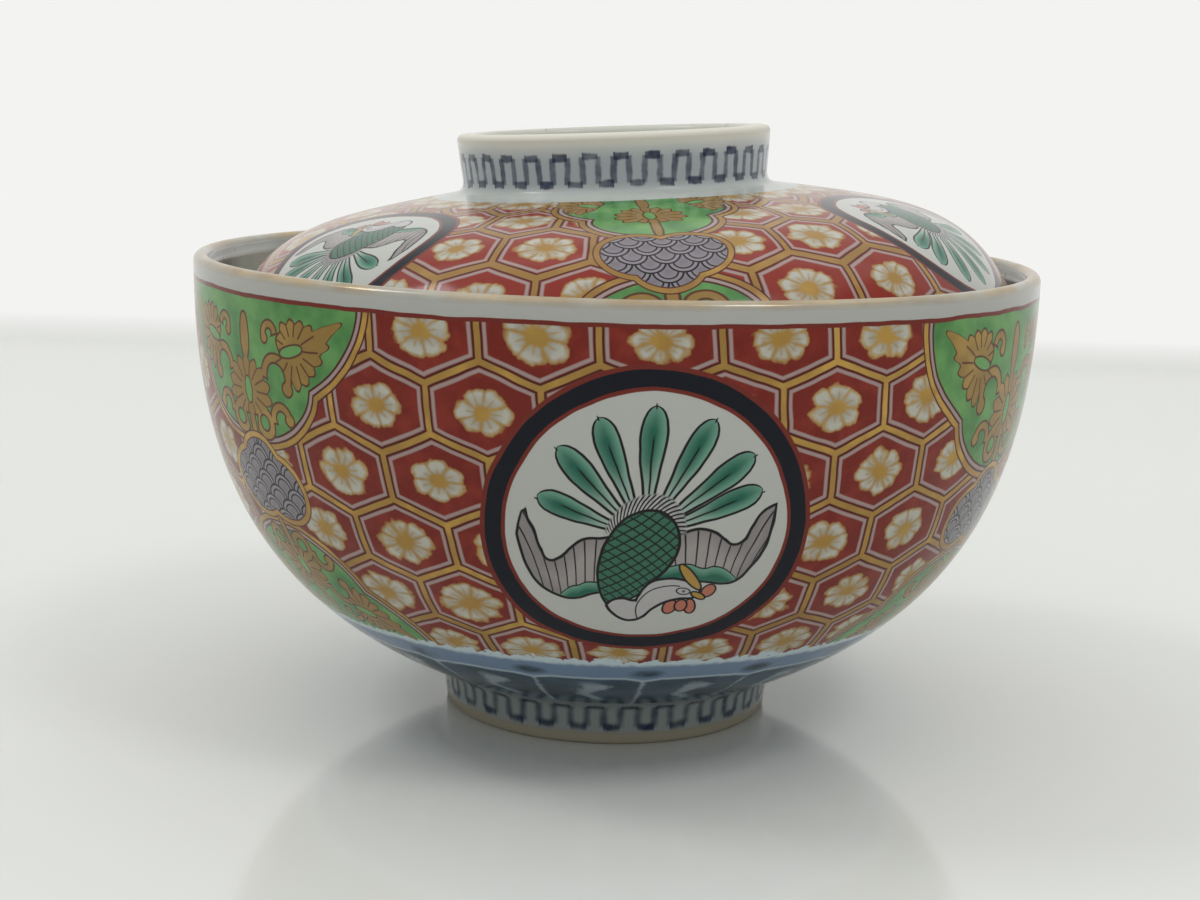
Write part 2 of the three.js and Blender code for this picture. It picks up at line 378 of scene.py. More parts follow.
class Field:
    """A value over a pot's surface: operators add Math nodes, and node() adds any other node."""

    def __init__(self, tree, socket=None):
        self.tree = tree
        self.socket = socket

    def node(self, kind, settings=None, inputs=None, output=0):
        node = self.tree.nodes.new("ShaderNode" + kind)
        for name, value in (settings or {}).items():
            setattr(node, name, value)
        for name, value in (inputs or {}).items():
            if isinstance(value, Field):
                self.tree.links.new(value.socket, node.inputs[name])
            else:
                node.inputs[name].default_value = value
        return Field(self.tree, node.outputs[output])

    def math(self, operation, *values):
        return self.node("Math", {"operation": operation}, dict(enumerate(values)))

    def __add__(self, other):
        return self.math("ADD", self, other)

    def __radd__(self, other):
        return self.math("ADD", other, self)

    def __sub__(self, other):
        return self.math("SUBTRACT", self, other)

    def __rsub__(self, other):
        return self.math("SUBTRACT", other, self)

    def __mul__(self, other):
        return self.math("MULTIPLY", self, other)

    def __rmul__(self, other):
        return self.math("MULTIPLY", other, self)

    def __truediv__(self, other):
        return self.math("DIVIDE", self, other)

    def __rtruediv__(self, other):
        return self.math("DIVIDE", other, self)

    def __pow__(self, other):
        return self.math("POWER", self, other)

    def __abs__(self):
        return self.math("ABSOLUTE", self)

    def sin(self):
        return self.math("SINE", self)

    def cos(self):
        return self.math("COSINE", self)

    def root(self):
        return self.math("SQRT", self)

    def sign(self):
        return self.math("SIGN", self)

    def round(self):
        return self.math("ROUND", self)

    def least(self, other):
        return self.math("MINIMUM", self, other)

    def most(self, other):
        return self.math("MAXIMUM", self, other)

    def folded(self, half):
        """The value brought into one repeat, from -half to half."""
        return self.math("WRAP", self, half, -half)

    def off_lines(self, step):
        """How far the value is from the nearest whole number of steps."""
        return self.math("PINGPONG", self, step / 2)

    def step(self, edge, soft, below, above):
        """A soft change at an edge, from one number below it to another above it."""
        return self.node("MapRange", {"clamp": True}, {
            "Value": self, "From Min": edge - soft / 2, "From Max": edge + soft / 2,
            "To Min": below, "To Max": above,
        })

    def under(self, edge, soft=BRUSH_EDGE):
        """1 where the value is under the edge and 0 over it."""
        return self.step(edge, soft, 1.0, 0.0)

    def over(self, edge, soft=BRUSH_EDGE):
        return self.step(edge, soft, 0.0, 1.0)

    def between(self, low, high, soft=BRUSH_EDGE):
        return abs(self - (low + high) / 2).under((high - low) / 2, soft)

    def other(self, output):
        """Another output of the node that this value comes from."""
        return Field(self.tree, self.socket.node.outputs[output])

    def curve(self, points, corners=()):
        """The height of a line drawn through the points, smooth apart from its corners."""
        drawn = self.node("FloatCurve", None, {"Value": self})
        mapping = drawn.socket.node.mapping
        mapping.use_clip = False
        mapping.extend = "HORIZONTAL"
        line = mapping.curves[0].points
        line[0].location = points[0]
        line[1].location = points[-1]
        for point in points[1:-1]:
            line.new(*point).handle_type = "VECTOR" if point[0] in corners else "AUTO"
        mapping.update()
        return drawn


class Spot:
    """A place in a flat drawing, in millimetres from the drawing's middle."""

    def __init__(self, x, y):
        self.x = x
        self.y = y
        self.at = x.node("CombineXYZ", None, {"X": x, "Y": y})

    def reach(self, x=0.0, y=0.0):
        """Distance from a point of the drawing."""
        ends = {0: self.at, 1: (x, y, 0)}
        return self.at.node("VectorMath", {"operation": "DISTANCE"}, ends, output="Value")

    def along(self, degrees, x=0.0, y=0.0):
        """Distance from a point of the drawing, measured in one direction."""
        to = heading(degrees)
        across = self.at.node("VectorMath", {"operation": "DOT_PRODUCT"}, {0: self.at, 1: (to.x, to.y, 0)},
                              output="Value")
        return across - (to.x * x + to.y * y)

    def bearing(self, x=0.0, y=0.0):
        """Angle round a point of the drawing, in degrees from its right."""
        return self.x.math("ARCTAN2", self.y - y, self.x - x) * (180 / math.pi)

    def oval(self, x, y, width, height, degrees=0.0):
        """Distance outside an oval, nearly true all round it."""
        long = self.along(degrees, x, y) / width
        high = self.along(degrees + 90, x, y) / height
        far = (long * long + high * high).root()
        slope = ((long / width) ** 2 + (high / height) ** 2).root()
        return far * (far - 1) / slope

    def arc(self, x, y, radius, middle, sweep, half_width):
        """Distance outside a curved stroke that is cut off at both ends."""
        band = abs(self.reach(x, y) - radius) - half_width
        cut = radius * math.cos(math.radians(sweep / 2)) - self.along(middle, x, y)
        return band.most(cut)

    def outline(self, x, y, points, corners=()):
        """Distance outside a shape that is drawn as bearings and reaches from a point inside it."""
        return self.reach(x, y) - self.bearing(x, y).curve(points, corners)


class Coat:
    """Paint laid on in order, each touch over the ones before it."""

    def __init__(self, ground):
        self.color = ground
        self.gilt = 0.0

    def lay(self, mask, color, gilt=0.0):
        self.color = mask.node("Mix", {"data_type": "RGBA"}, {0: mask, 6: self.color, 7: color}, output=2)
        if gilt or isinstance(self.gilt, Field):
            self.gilt = mask.node("Mix", None, {0: mask, 2: self.gilt, 3: gilt})


# Where each pot's motifs stand: angles in degrees from the front, ways from the rim in millimetres.
BOWL_PLAN = {
    "ground": IRON_RED,
    "front": 4.7, "first_roundel": 0.0, "drawn_in": 0.071,
    "roundel_way": 26.4, "roundel_size": 1.0, "bird_faces": 1.0,
    "panel_way": 28.0, "panel_slope": 1.68, "panel_lobes": ((12.4, 15.1, 8.2), (20.4, 26.1, 14.6)),
    "scroll_height": 0.935, "scroll_slope": 0.075, "scroll_girth": 57.0, "curls_below": 1.0,
    "cartouche_size": 1.0,
    "hexagons": 26, "hexagon_front": 5.2, "hexagon_way": 3.46, "row_pitch": 8.86,
    "shear": 0.085, "slope": 1.6,
    # Among these: the level that parts the gold's painted glints from its worn patches.
    "painted_to": 49.9, "bare_from": 77.4, "bare_to": 82.6, "unworn": 0.53, "shine": 0.45,
}
LID_PLAN = {
    # The lid's ground is the bowl's red painted lighter, as painted light on its top.
    "ground": LIT_LID_RED,
    "front": 7.3, "first_roundel": 60.0, "drawn_in": 0.0624,
    "roundel_way": 15.6, "roundel_size": 0.72, "bird_faces": -1.0,
    "panel_way": 14.9, "panel_slope": 0.0, "panel_lobes": ((11.2, 10.6, 5.6), (19.0, 17.0, 6.4)),
    "scroll_height": 1.0, "scroll_slope": 0.0, "scroll_girth": 40.0, "curls_below": 0.0,
    "cartouche_size": 0.95,
    "hexagons": 24, "hexagon_front": 4.0, "hexagon_way": 17.0, "row_pitch": 9.1,
    "shear": 0.0, "slope": 0.0,
    # Among these: the level that parts the gold's painted glints from its worn patches.
    "painted_to": 36.2, "bare_from": 47.4, "bare_to": 49.4, "unworn": 0.46, "shine": 0.15,
}
HEXAGON_HEIGHT = 11.7
HEXAGON_SIDE = 6.0
LIP_WORN = (-2.8, -0.3)
INSIDE_FROM = -2.6
# Ways of the dark band below the lip: part stain, part painted shade in the gap under the lid.
LIP_STAINS_AND_SHADE = (-10.5, -4.0)
RED_LINE_FROM = 1.6
RED_LINE_TO = 2.15
ROUNDEL_RINGS = ((20.2, LINE_RED), (19.6, NAVY), (17.5, LINE_RED), (17.0, ROUNDEL_WHITE))
PANEL_BORDER = ((2.1, DARK_RED, 0.0), (1.88, GOLD, 1.0), (1.22, DARK_RED, 0.0), (0.94, LILAC_LINE, 0.0),
                (0.5, DARK_RED, 0.0))
PANEL_EDGE = 0.2
CARTOUCHE_BORDER = ((1.1, DARK_RED, 0.0), (0.9, GOLD, 1.0), (0.2, DARK_RED, 0.0))
SCALE_RADIUS = 2.1
SCALE_OVERLAP = 0.82
HIDDEN = 100.0

# The foot's blue bands as ways from the bowl's rim, and the knob's as ways from the lid's edge.
LAPPETS = 17
LAPPET_FRONT = 7.3
COBALT_FROM = 51.6
BLOTS_AT = 53.6
LAPPETS_FROM = 55.5
FOOT_RING_FROM = 69.8
FOOT_FRET_AT = 74.4
FOOT_EDGE_FROM = 76.9
KNOB_FRET_AT = 43.2
KNOB_WASH = (40.8, 45.8)
KNOB_GLAZE_FROM = 45.6
KNOB_CREAM = (46.6, 50.6)

# The shake of the brush in millimetres, and the glaze over the paint.
SHAKE = 0.6
SHAKE_SCALE = 150.0
GLAZE_RIPPLE = 0.0004
GLAZE_SPECULAR = 0.22


class Place:
    """A pot's surface as its painter meets it, with the unsteadiness of a hand-held brush."""

    def __init__(self, tree):
        start = Field(tree)
        self.object = start.node("TexCoord", output="Object")
        wobble = {"Vector": self.object, "Scale": SHAKE_SCALE, "Detail": 2.0}
        shake = start.node("TexNoise", None, wobble, output="Color")
        stray = start.node("SeparateColor", None, {"Color": shake})
        self.girth = start.node("Attribute", {"attribute_name": "girth"}, output="Fac")
        flat = start.node("SeparateXYZ", None, {0: start.node("UVMap", {"uv_map": "Pattern"})})
        self.angle = flat + (stray - 0.5) * SHAKE / self.girth
        self.way = flat.other("Y") + (stray.other("Green") - 0.5) * SHAKE

    def noise(self, scale, detail=2.0):
        return self.object.node("TexNoise", None, {"Vector": self.object, "Scale": scale, "Detail": detail})


def tortoiseshell(coat, place, plan):
    """Gold hexagons on red, each with a white line and a flower."""
    pitch = 2 * math.pi / plan["hexagons"]
    half = place.girth * (pitch / 2)
    slant = (HEXAGON_HEIGHT - HEXAGON_SIDE) / 2
    edge_length = (half * half + slant**2).root()
    tilt = place.way.least(12) * place.angle.sin() * (plan["slope"] / 12)
    down = place.way + tilt - plan["hexagon_way"]
    round_pot = place.angle - down * math.radians(plan["shear"]) - math.radians(plan["hexagon_front"])

    def cell(shift):
        y = (down - shift * plan["row_pitch"]).folded(plan["row_pitch"])
        x = (round_pot - shift * pitch / 2).folded(pitch / 2) * place.girth
        side = half - abs(x)
        top = ((HEXAGON_HEIGHT / 2 - abs(y)) * half - abs(x) * slant) / edge_length
        return x, y, side.least(top)

    even_x, even_y, even_edge = cell(0)
    odd_x, odd_y, odd_edge = cell(1)
    in_even = even_edge.math("GREATER_THAN", even_edge, odd_edge)
    x = odd_x + in_even * (even_x - odd_x)
    y = odd_y + in_even * (even_y - odd_y)
    edge = even_edge.most(odd_edge)

    coat.lay(place.noise(320.0, 3.0).over(0.56, 0.2) * 0.55, THIN_RED)
    coat.lay(edge.between(0.72, 1.16, 0.18), LILAC_LINE)
    coat.lay(edge.under(0.62, 0.14), DARK_RED)
    coat.lay(edge.under(0.36), GOLD, gilt=1.0)
    column = ((round_pot - x / place.girth) * (2 / pitch)).round()
    column = column.math("FLOORED_MODULO", column, 2 * plan["hexagons"])
    row = ((down - y) / plan["row_pitch"]).round()
    cell_name = row.node("CombineXYZ", None, {"X": column, "Y": row})
    chance = row.node("TexWhiteNoise", {"noise_dimensions": "2D"}, {"Vector": cell_name}, output="Color")
    flower(coat, Spot(x * 0.8, y), place, chance)


def flower(coat, at, place, chance):
    """White petals on an ochre flower, six or eight of them, no two flowers brushed quite alike."""
    luck = chance.node("SeparateColor", None, {"Color": chance})
    reach = at.reach() * (luck.other("Green") * 0.2 + 0.9)
    ragged = place.noise(520.0, 2.0) - 0.5
    pairs = luck.other("Blue").round() + 3
    turn = (at.bearing() * (math.pi / 180) + luck * math.pi + ragged * 0.2) * pairs
    petal = abs(turn.sin())
    edge = reach - petal**0.5 * 0.45 - ragged * 1.8 - 2.55
    coat.lay(edge.under(0.0, 0.25), PALE_OCHRE, gilt=0.4)
    across = reach / pairs
    petals = edge.under(-0.34, 0.5) * (petal * across + ragged * 0.7).over(0.2, 0.34)
    coat.lay(petals, PETAL_WHITE)
    coat.lay(petals * (reach + ragged * 3.0).under(1.8, 1.2) * 0.7, PETAL_SHADE)
    streak = abs(turn.cos()) * across
    coat.lay(streak.under(0.1, 0.16) * (reach + ragged * 1.5).under(2.0, 0.5) * 0.8, PALE_OCHRE)
    coat.lay((reach + ragged * 1.4).under(1.0, 0.5), OCHRE, gilt=0.5)


def roundel(coat, at):
    """A white round with a navy ring between red lines."""
    reach = at.reach()
    for radius, color in ROUNDEL_RINGS:
        coat.lay(reach.under(radius), color)


# The bird's outlines, in millimetres from the roundel's middle, or in bearings and reaches.
TAIL_ROOT = (-0.5, -1.2)
BODY_AT = (-1.3, -3.5)
FEATHER_ANGLE = ((-3, -68), (-2, -42.9), (-1, -21.3), (0, 2.8), (1, 26.9), (2, 49.7), (3, 66.1))
FAN = ((-79, -3.49), *((angle, feather) for feather, angle in FEATHER_ANGLE), (77, 3.49))
FEATHER_LENGTH = ((-3, 13.6), (-2, 15.2), (-1, 16.0), (0, 16.4), (1, 16.7), (2, 16.4), (3, 15.3))
FEATHER_WIDTH = ((0.28, 0.5), (0.5, 0.95), (0.68, 1.35), (0.8, 1.48), (0.88, 1.38), (0.94, 1.1), (0.98, 0.7),
                 (1.0, 0.3), (1.015, -0.4))
WING_TOP = ((-15.6, -2.5), (-15.3, 0.2), (-14.9, 1.8), (-14.3, 0.6), (-13.6, -0.7), (-12.5, -3.5),
            (-11.5, -4.8), (-10.4, -4.4), (-9, -2.8), (-7.5, -1.6), (-5.2, -1.3), (0, -0.5), (3.5, -0.7),
            (6.2, 0), (8, -0.5), (9.4, -1.6), (10.5, -2.3), (11.6, -1.9), (12.8, 0.2), (13.9, 2.0),
            (15.0, 2.75), (15.7, 3.0))
WING_FOOT = ((-15.6, -1.0), (-15.0, -3.5), (-13.8, -6.6), (-12.2, -8.9), (-9.7, -10.4), (-8.4, -10.6),
             (-6.1, -9.8), (0, -8), (2.5, -7.3), (4.8, -7.3), (7.1, -7.8), (9.8, -8.2), (11.4, -7.6),
             (13, -5.7), (14.4, -3), (15.2, 0.6), (15.7, 4.5))
WING_LINING = ((-16, -16), (-10.4, -10.8), (-9.6, -9.6), (-8.6, -8.7), (-7.8, -8.5), (-7, -8.0),
               (-5.5, -7.9), (2.8, -5.3), (5.3, -5.0), (6.4, -5.6), (7.1, -5.8), (8.2, -5.5), (10, -6.1),
               (11.6, -8.0), (16, -16))
BODY_EDGE = ((-180, 4.0), (-148, 5.1), (-128, 6.6), (-115, 8.0), (-108, 8.6), (-98, 7.5), (-80, 6.0),
             (-60, 4.8), (-25, 4.4), (3, 5.0), (24, 5.6), (43, 6.1), (59, 6.3), (79, 6.0), (102, 5.2),
             (120, 4.5), (139, 4.0), (160, 3.9), (180, 4.0))
NECK_TOP = ((-4.4, -12.2), (-3.9, -10.9), (-2.5, -10.4), (-0.9, -10.6), (-0.4, -9.6), (0.2, -8.5),
            (1.0, -7.7), (2.4, -7.2), (4.4, -7.3), (6.2, -8.2), (7.0, -10.0))
NECK_FOOT = ((-4.4, -11.4), (-3.6, -12.9), (-2.5, -13.9), (-1.3, -14.2), (0, -13.7), (1.4, -12.1),
             (2.8, -11.0), (4.4, -10.4), (6.0, -10.3), (7.0, -9.0))


def steepness(value, points):
    """How much longer a drawn line is than its run, which thins a measure taken straight up to it."""
    rise = ((value + 0.2).curve(points) - value.curve(points)) / 0.2
    return (rise * rise + 1).root()


def between_lines(x, y, top, foot):
    """Distance outside the strip between two drawn lines."""
    over_top = (y - x.curve(top)) / steepness(x, top)
    under_foot = (x.curve(foot) - y) / steepness(x, foot)
    return over_top.most(under_foot)


def phoenix(coat, at):
    """A bird seen from above, with its tail fanned towards the rim and its head turned to the right."""
    tail_feathers(coat, at)
    wings(coat, at)
    bird_body(coat, at)
    neck_and_head(coat, at)


def drawn_shape(coat, distance, color, line=0.2):
    """A filled shape with a black outline. Returns the fill's mask."""
    coat.lay(distance.under(line), BLACK)
    fill = distance.under(-line)
    coat.lay(fill, color)
    return fill


def tail_feathers(coat, at):
    from_top = 90 - at.bearing(*TAIL_ROOT)
    nearest = from_top.curve(FAN).round()
    out = at.reach(*TAIL_ROOT)
    aside = (from_top - nearest.curve(FEATHER_ANGLE)) * out * (math.pi / 180)
    share = out / nearest.curve(FEATHER_LENGTH)
    edge = abs(aside) - share.curve(FEATHER_WIDTH)
    seen = out.over(4.4) * abs(from_top).under(80)
    coat.lay(edge.under(0.2) * seen, BLACK)
    fill = edge.under(-0.15) * seen
    coat.lay(fill, FEATHER_PALE)
    coat.lay(fill * share.over(0.5, 0.3), PALE_TEAL)
    coat.lay(fill * (edge + aside * 0.35).under(-0.6, 1.3) * share.between(0.45, 0.98, 0.3), TEAL)
    coat.lay(fill * abs(aside).under(0.12) * share.under(0.78, 0.06), BLACK)
    nib = abs(aside - nearest * 0.16).under(0.1) * share.between(0.985, 1.024, 0.015)
    coat.lay(nib * seen, BLACK)


def wings(coat, at):
    edge = between_lines(at.x, at.y, WING_TOP, WING_FOOT)
    fill = drawn_shape(coat, edge, WING_GREY)
    away = abs(at.x)
    barb = away - (away - 6) * (at.y + 5) * 0.05
    coat.lay(fill * (edge + away * 0.1).over(-0.6, 2.4) * 0.45, WING_DUSK)
    coat.lay(fill * barb.off_lines(1.2).under(0.09), BLACK)
    lining = at.y - at.x.curve(WING_LINING)
    coat.lay(fill * lining.under(0.12), BLACK)
    coat.lay(fill * lining.under(-0.1), PALE_TEAL)
    coat.lay(fill * lining.under(-0.8, 1.2), TEAL)


def bird_body(coat, at):
    edge = at.outline(*BODY_AT, BODY_EDGE)
    ruff = (edge - at.y * 0.25).under(1.0, 0.3) * at.y.over(-0.6, 0.8)
    coat.lay(ruff * 0.8, NECK_GREY)
    quill = (at.bearing(*BODY_AT) + edge * 5).off_lines(4.8)
    coat.lay(ruff * quill.under(1.1, 0.8), BLACK)
    fill = drawn_shape(coat, edge, BODY_TEAL)
    one_way = (at.along(-51) + at.x * at.x * 0.02).off_lines(1.05)
    other_way = (at.along(55) - at.y * at.x * 0.03).off_lines(1.15)
    coat.lay(fill * one_way.least(other_way).under(0.1), BLACK)


def neck_and_head(coat, at):
    comb = at.oval(7.85, -9.3, 1.05, 0.8, 50).least(at.oval(7.2, -9.9, 0.55, 0.5))
    drawn_shape(coat, comb, SALMON, line=0.12)
    wattles = at.oval(3.4, -11.8, 0.8, 1.2, -15).least(at.oval(5.8, -11.8, 0.68, 1.25, 5))
    drawn_shape(coat, wattles, SALMON, line=0.12)
    drawn_shape(coat, at.oval(4.7, -11.6, 0.75, 1.0), SALMON, line=0.12)
    neck = between_lines(at.x, at.y, NECK_TOP, NECK_FOOT)
    fill = drawn_shape(coat, neck, NECK_GREY)
    fold = at.reach(3.4, -12.4) - 4.1
    coat.lay(fill * abs(fold).under(0.09) * at.x.under(4.4), BLACK)
    beak = at.oval(6.6, -10.0, 1.0, 0.45, -32)
    drawn_shape(coat, beak, OCHRE, line=0.12)
    crest = at.oval(5.5, -7.0, 2.4, 0.65, -58)
    drawn_shape(coat, crest, OCHRE, line=0.12)
    eye = at.oval(4.8, -9.2, 0.8, 0.5, -10)
    coat.lay(abs(eye).under(0.09), BLACK)
    coat.lay(at.reach(4.85, -9.2).under(0.22, 0.2) * 0.8, BLACK)


def panel(coat, at, plan, place):
    """A green panel above and below each cartouche, in a lobed border of gold, white and red."""
    far = Spot(at.x, abs(at.y))
    lobes = [far.oval(0, middle, place.girth * math.radians(half_angle), height)
             for half_angle, middle, height in plan["panel_lobes"]]
    beyond = lobes[0].least(lobes[1])
    for width, color, gilt in PANEL_BORDER:
        coat.lay(beyond.under(width), color, gilt)
    green = beyond.under(PANEL_EDGE)
    coat.lay(green, GREEN)
    coat.lay(green * place.noise(210.0, 3.0).over(0.5, 0.3), DEEP_GREEN)


# The gold branches of a panel, in millimetres from the cartouche's middle, on one side of the panel's axis.
HEART_AT = (0, 12.4)
LEAF_AT = (10.2, 18.7)
HEART_EDGE = ((-90, 2.6), (-62, 3.2), (-48, 3.1), (-34, 4.6), (-22, 4.0), (-10, 5.1), (2, 4.2), (14, 5.0),
              (27, 4.0), (40, 4.9), (52, 3.8), (64, 4.5), (77, 3.6), (90, 4.8))
HEART_NOTCHES = (-48, -22, 2, 27, 52, 77)
LEAF_EDGE = ((-180, 2.6), (-160, 2.4), (-135, 2.6), (-115, 3.2), (-98, 3.5), (-85, 4.7), (-72, 3.9),
             (-60, 4.4), (-47, 3.6), (-35, 4.2), (-22, 3.6), (-10, 4.8), (2, 4.6), (9, 6.0), (15, 5.7),
             (21, 7.0), (27, 8.9), (31, 7.0), (37, 4.3), (46, 4.5), (55, 3.5), (68, 3.9), (80, 3.2),
             (95, 3.7), (108, 3.1), (122, 3.7), (138, 2.9), (155, 3.1), (180, 2.6))
LEAF_NOTCHES = (-98, -72, -47, -22, 15, 37, 55, 80, 108, 138)
VEINS = ((HEART_AT, -48, 25, 1.9), (LEAF_AT, -22, 26, 1.8))
STROKES = ((3.0, 8.6, 1.6, -10, 330, 0.4), (6.9, 9.6, 1.7, 95, 200, 0.38), (6.6, 15.0, 2.4, 75, 215, 0.42),
           (5.6, 20.3, 1.2, 110, 200, 0.36))
BUDS = ((8.5, 9.8, 0.7), (8.7, 13.8, 0.8), (4.6, 19.7, 0.55))


def gold_scrolls(coat, at, plain):
    """Gold palmettes on scrolled stems, alike on both sides of a panel's axis, without curls where plain."""
    shape = at.outline(*HEART_AT, HEART_EDGE, HEART_NOTCHES)
    shape = shape.least(at.outline(*LEAF_AT, LEAF_EDGE, LEAF_NOTCHES))
    shape = shape.least(at.oval(0, 7.6, 0.5, 3.4))
    shape = shape.least(at.oval(0, 19.5, 0.9, 2.9))
    curls = at.reach(*BUDS[0][:2]) - BUDS[0][2]
    for stroke in STROKES:
        curls = curls.least(at.arc(*stroke))
    for x, y, radius in BUDS[1:]:
        curls = curls.least(at.reach(x, y) - radius)
    shape = shape.least(curls + plain * HIDDEN)
    coat.lay(shape.under(0.32), LEAF_LINE)
    gold = shape.under(0.02)
    coat.lay(gold, LEAF_GOLD, gilt=0.5)
    for root, first, step, reach_from in VEINS:
        reach = at.reach(*root)
        vein = (at.bearing(*root) - first).off_lines(step) * reach * (math.pi / 180)
        coat.lay(vein.under(0.12) * reach.between(reach_from, 4.4) * gold, LEAF_LINE)
    hole = at.oval(0, 12.5, 0.75, 1.7).least(at.oval(9.8, 18.6, 2.0, 0.62, 15))
    coat.lay(hole.under(0.25), LEAF_LINE)
    coat.lay(hole.under(0.0), GREEN)


def cartouche(coat, at):
    """A grey cloud of wave scales in a gold border, with one lobe towards the rim and one at each side."""
    edge = at.oval(0, 1.6, 4.5, 4.5).least(at.oval(3.2, -0.3, 4.8, 4.2))
    for width, color, gilt in CARTOUCHE_BORDER:
        coat.lay(edge.under(width), color, gilt)
    inside = edge.under(0.0)
    lines, depth = wave_scales(at)
    coat.lay(inside, SCALE_GREY)
    coat.lay(inside * depth, DEEP_SCALE)
    coat.lay(inside * lines, BLACK)


def wave_scales(at):
    """Lines and shade of overlapping round scales, the ones further from the rim lying over those before."""
    radius = SCALE_RADIUS
    pitch = radius * SCALE_OVERLAP
    rows = at.y / pitch
    row = rows.math("FLOOR", rows)
    odd = row.math("FLOORED_MODULO", row, 2)
    rise = at.y - row * pitch
    near_x = (at.x - odd * radius).folded(radius)
    far_x = (at.x + (odd - 1) * radius).folded(radius)
    front = (far_x * far_x + (rise + pitch) ** 2).root()
    own = (near_x * near_x + rise * rise).root()
    behind = (far_x * far_x + (rise - pitch) ** 2).root()
    in_own = own.math("LESS_THAN", own, radius)
    in_front = front.math("LESS_THAN", front, radius)
    reach = behind + in_own * (own - behind)
    reach = reach + in_front * (front - reach)
    outer = (radius - reach).under(0.28)
    inner = abs(reach - radius * 0.62).under(0.12) * in_own.most(in_front)
    return outer.most(inner), reach.under(radius * 0.5, radius * 0.8) * 0.5


def rim_line(coat, place):
    """The bare white edge, its worn lip and the red line under it."""
    coat.lay(place.way.under(RED_LINE_TO), LINE_RED)
    coat.lay(place.way.under(RED_LINE_FROM), WHITE_GLAZE)
    worn_lip = place.way.between(*LIP_WORN, 0.9) * place.noise(90.0, 3.0).over(0.42, 0.3)
    coat.lay(worn_lip * 0.85, LIP_OCHRE, gilt=0.7)


def fret(coat, place, middle, height, periods, blur):
    """A blue battlement line round a ring, with heavier brush marks along its top and foot."""
    around = place.angle * periods
    up = place.way - middle
    gap = around.off_lines(math.pi) * place.girth / periods
    press = place.noise(500.0, 2.0)
    post = (gap - press * 0.5).under(0.1 + blur * 0.25, blur) * abs(up).under(height / 2, blur)
    beam = abs(up - around.sin().sign() * (height / 2)) - press * 0.7
    coat.lay(post * (press * 0.7 + 0.35), FRET_BLUE)
    coat.lay(beam.under(0.14, blur) * (press * 0.8 + 0.4), FRET_BLUE)


def bowl_foot(coat, place, plan):
    """Cobalt lappets under the painted wall, and the fret and bare edge of the foot ring, the bare edge
    painted darker as the shade where the foot meets the floor.
    """
    way = place.way
    ragged = place.noise(800.0, 2.0)
    cloud = place.noise(130.0, 3.0)
    half = math.pi / LAPPETS
    around = place.angle - math.radians(LAPPET_FRONT)
    seam = abs(around.folded(half)) * place.girth
    middle = (around - half).folded(half) * place.girth
    coat.lay((way + ragged * 3.5 - 1.6).over(plan["painted_to"], 0.3), PALE_BLUE)
    coat.lay((way + ragged).over(COBALT_FROM, 0.9), COBALT)
    blot = ((seam / 1.7) ** 2 + (way - BLOTS_AT) ** 2).root()
    coat.lay(blot.under(1.1, 1.0) * cloud.over(0.38, 0.2), DEEP_COBALT)
    arch = way - seam.under(1.2, 2.4) * 0.8
    lower = arch.over(LAPPETS_FROM, 0.6)
    coat.lay(lower, LAPPET_BLUE)
    coat.lay(lower * cloud.over(0.5, 0.25), DEEP_COBALT)
    flame = abs(middle - ((way - 57) * 0.9).sin() * 0.9) - ragged * 1.6 - way.between(57.6, 60.4, 1.6)
    coat.lay(flame.under(0.0, 1.2) * way.between(57.5, 66.5, 2.0) * 0.5, PALE_BLUE)
    coat.lay(lower * (seam + ragged - 0.5).under(0.25, 0.5) * 0.5, PALE_BLUE)
    coat.lay((arch + cloud).between(LAPPETS_FROM, LAPPETS_FROM + 0.6, 0.6) * 0.7, PALE_BLUE)
    coat.lay(way.over(FOOT_RING_FROM, 1.0), FOOT_BLUE)
    coat.lay(way.between(FOOT_RING_FROM - 0.2, FOOT_RING_FROM + 0.4, 0.5) * 0.6, PALE_BLUE)
    fret(coat, place, FOOT_FRET_AT, height=3.3, periods=32, blur=0.6)
    # Bare clay of the foot's edge, painted darker as its contact shade.
    coat.lay(way.over(FOOT_EDGE_FROM, 0.6), BARE_CLAY_AND_SHADE)


def lid_knob(coat, place, plan):
    """The pale fillet round the ring knob, its fret and its creamy top, with the ring's glaze painted lighter
    than the pot's white as painted light on the ring.
    """
    coat.lay(place.way.over(plan["painted_to"]), RING_BLUE)
    # Painted light: the ring's glaze is laid lighter than the pot's white.
    coat.lay(place.way.over(KNOB_GLAZE_FROM, 3.0), LIT_RING_GLAZE)
    coat.lay(place.way.between(*KNOB_WASH, 2.4) * 0.6, FRET_WASH)
    fret(coat, place, KNOB_FRET_AT, height=3.6, periods=33, blur=0.25)
    # Painted light with a cream tint: the ring's top band, lighter than the pot's white.
    coat.lay(place.way.between(*KNOB_CREAM, 1.0) * 0.8, LIT_RING_CREAM)


def plain_glaze(coat, place, covers):
    """Cloudy grey and a few iron specks in the glaze of the insides and undersides, and below the lip a dark
    band that is part stain and part painted shade of the narrow gap between lid and bowl.
    """
    coat.lay(covers * place.noise(40.0, 3.0).over(0.5, 0.4) * 0.6, GREY_GLAZE)
    coat.lay(covers * place.noise(700.0, 1.0).over(0.74, 0.06) * 0.6, IRON_SPECK)
    # Painted shade with some stain: a dark band below the lip where the lid shades the gap.
    below_lip = place.way.between(*LIP_STAINS_AND_SHADE, 3.0)
    coat.lay(below_lip * place.noise(45.0, 4.0).over(0.43, 0.3) * 0.8, STAIN_AND_SHADE_GLAZE)


